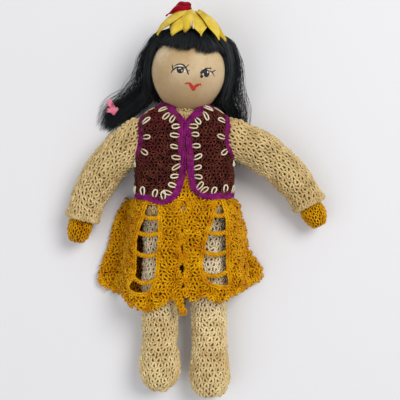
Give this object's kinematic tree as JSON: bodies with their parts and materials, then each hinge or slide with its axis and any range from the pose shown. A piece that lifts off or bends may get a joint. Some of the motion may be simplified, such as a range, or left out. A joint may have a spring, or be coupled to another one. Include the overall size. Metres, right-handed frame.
{
  "type": "crocheted doll",
  "caption": "Small crocheted doll lying on its back, with a painted ball head, dark hair, petal headdress, open vest and lace skirt, and limbs that turn.",
  "frame": {"origin": "on the resting surface, in the flat back of the skirt under the hips", "axes": "+Y along the body to the crown, +Z out of the chest, +X to the right of someone looking down on the face"},
  "size_m": [0.103, 0.1557, 0.0371],
  "materials": {
    "painted_head": "aged cream paint with brushed features, satin",
    "hair": "fine black fibre with a soft sheen",
    "flower_thread": "light thread stamens",
    "petal_satin": "stiffened satin petal, soft sheen",
    "red_petal": "dark red stiffened satin",
    "ribbon": "pink satin ribbon",
    "peg_wood": "bare dowel",
    "ecru_yarn": "matt crocheted cotton, stained",
    "gold_yarn": "lustrous crocheted thread",
    "vest_yarn": "brown and maroon variegated crochet",
    "edging_yarn": "magenta crocheted edging",
    "stitch_yarn": "cream embroidery loops",
    "stuffing": "loose fibre filling",
    "wire": "thin soft steel wire"
  },
  "bodies": {
    "torso": {"torso_skin": "ecru_yarn", "torso_stuffing": "stuffing", "shoulder_wire": "wire", "neck_peg": "peg_wood", "neck_skin": "ecru_yarn", "hair_back": "hair", "hair_lock_left": "hair", "hair_lock_right": "hair", "ribbon": "ribbon", "vest_back": "vest_yarn", "vest_front_left": "vest_yarn", "vest_front_right": "vest_yarn", "vest_edging_back": "edging_yarn", "vest_edging_left": "edging_yarn", "vest_edging_right": "edging_yarn", "vest_stitches": "stitch_yarn", "skirt_waistband": "gold_yarn", "skirt_front_left": "gold_yarn", "skirt_front_right": "gold_yarn", "skirt_back": "gold_yarn"},
    "head": {"head_ball": "painted_head", "hair_cap": "hair", "hair_fringe": "hair", "flower_centre": "flower_thread", "red_bud": "red_petal", "petal_outer_1": "petal_satin", "petal_outer_2": "petal_satin", "petal_outer_3": "petal_satin", "petal_outer_4": "petal_satin", "petal_outer_5": "petal_satin", "petal_outer_6": "petal_satin", "petal_inner_1": "petal_satin", "petal_inner_2": "petal_satin", "petal_inner_3": "petal_satin", "petal_inner_4": "petal_satin", "petal_inner_5": "petal_satin", "petal_inner_6": "petal_satin"},
    "upper_arm_left": {"arm_left_upper_skin": "ecru_yarn", "arm_left_upper_stuffing": "stuffing", "arm_left_upper_wire": "wire"},
    "forearm_left": {"arm_left_fore_skin": "ecru_yarn", "arm_left_fore_stuffing": "stuffing", "arm_left_fore_wire": "wire", "arm_left_hand": "gold_yarn"},
    "leg_left": {"leg_left_skin": "ecru_yarn", "leg_left_stuffing": "stuffing"},
    "upper_arm_right": {"arm_right_upper_skin": "ecru_yarn", "arm_right_upper_stuffing": "stuffing", "arm_right_upper_wire": "wire"},
    "forearm_right": {"arm_right_fore_skin": "ecru_yarn", "arm_right_fore_stuffing": "stuffing", "arm_right_fore_wire": "wire", "arm_right_hand": "gold_yarn"},
    "leg_right": {"leg_right_skin": "ecru_yarn", "leg_right_stuffing": "stuffing"}
  },
  "joints": [
    {"name": "head_turn", "type": "hinge", "parent": "torso", "child": "head", "pos_m": [0.00173, 0.05443, 0.0179], "axis": [0.0777, 0.9879, 0.1345], "range_deg": [-60, 60], "deforming": ["hair_back", "hair_lock_left", "hair_lock_right", "ribbon"]},
    {"name": "shoulder_left", "type": "hinge", "parent": "torso", "child": "upper_arm_left", "pos_m": [-0.0186, 0.028, 0.0133], "axis": [0, 0, -1], "range_deg": [-5, 35]},
    {"name": "elbow_left", "type": "hinge", "parent": "upper_arm_left", "child": "forearm_left", "pos_m": [-0.03303, 0.01431, 0.0102], "axis": [0, 0, -1], "range_deg": [-18, 30]},
    {"name": "shoulder_right", "type": "hinge", "parent": "torso", "child": "upper_arm_right", "pos_m": [0.0186, 0.028, 0.0133], "axis": [0, 0, 1], "range_deg": [-5, 35]},
    {"name": "elbow_right", "type": "hinge", "parent": "upper_arm_right", "child": "forearm_right", "pos_m": [0.03594, 0.01839, 0.0102], "axis": [0, 0, 1], "range_deg": [-18, 30]},
    {"name": "hip_left", "type": "hinge", "parent": "torso", "child": "leg_left", "pos_m": [-0.0096, -0.005, 0.00985], "axis": [-1, 0, 0], "range_deg": [0, 60], "deforming": ["skirt_front_left"]},
    {"name": "hip_right", "type": "hinge", "parent": "torso", "child": "leg_right", "pos_m": [0.0096, -0.005, 0.00985], "axis": [-1, 0, 0], "range_deg": [0, 60], "deforming": ["skirt_front_right"]}
  ]
}
